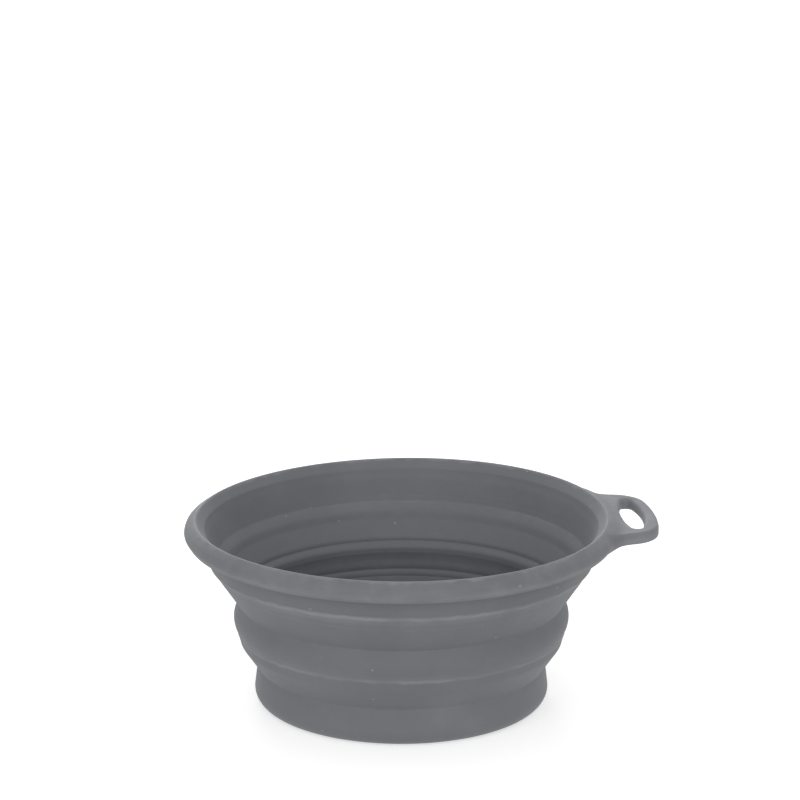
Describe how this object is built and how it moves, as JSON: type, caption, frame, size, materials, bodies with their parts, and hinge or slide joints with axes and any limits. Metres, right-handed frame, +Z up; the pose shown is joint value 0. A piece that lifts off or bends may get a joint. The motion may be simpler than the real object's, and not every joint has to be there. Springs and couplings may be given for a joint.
{
  "type": "collapsible bowl",
  "caption": "Collapsible silicone travel bowl: a thin wall in stiff tiers folds flat at living hinges; a slotted tab on the rim hangs it up.",
  "frame": {"origin": "centre of the flat underside, on the surface the bowl stands on", "axes": "+Z up along the bowl's axis, +X out through the middle of the hang tab"},
  "size_m": [0.1421, 0.13, 0.057],
  "materials": {
    "silicone": "matte"
  },
  "bodies": {
    "base": {"base_floor": "silicone", "base_wall": "silicone", "lower_neck": "silicone", "lower_web": "silicone"},
    "middle": {"lower_ridge": "silicone", "middle_band": "silicone", "upper_neck": "silicone", "upper_web": "silicone"},
    "rim": {"upper_ridge": "silicone", "rim_skirt": "silicone", "rim_bead": "silicone", "hang_tab": "silicone"}
  },
  "joints": [
    {"name": "lower_fold", "type": "slide", "parent": "base", "child": "middle", "axis": [0, 0, -1], "range_m": [0, 0.0196], "deforming": ["lower_web"]},
    {"name": "upper_fold", "type": "slide", "parent": "middle", "child": "rim", "axis": [0, 0, -1], "range_m": [0, 0.0224], "deforming": ["upper_web"]}
  ]
}
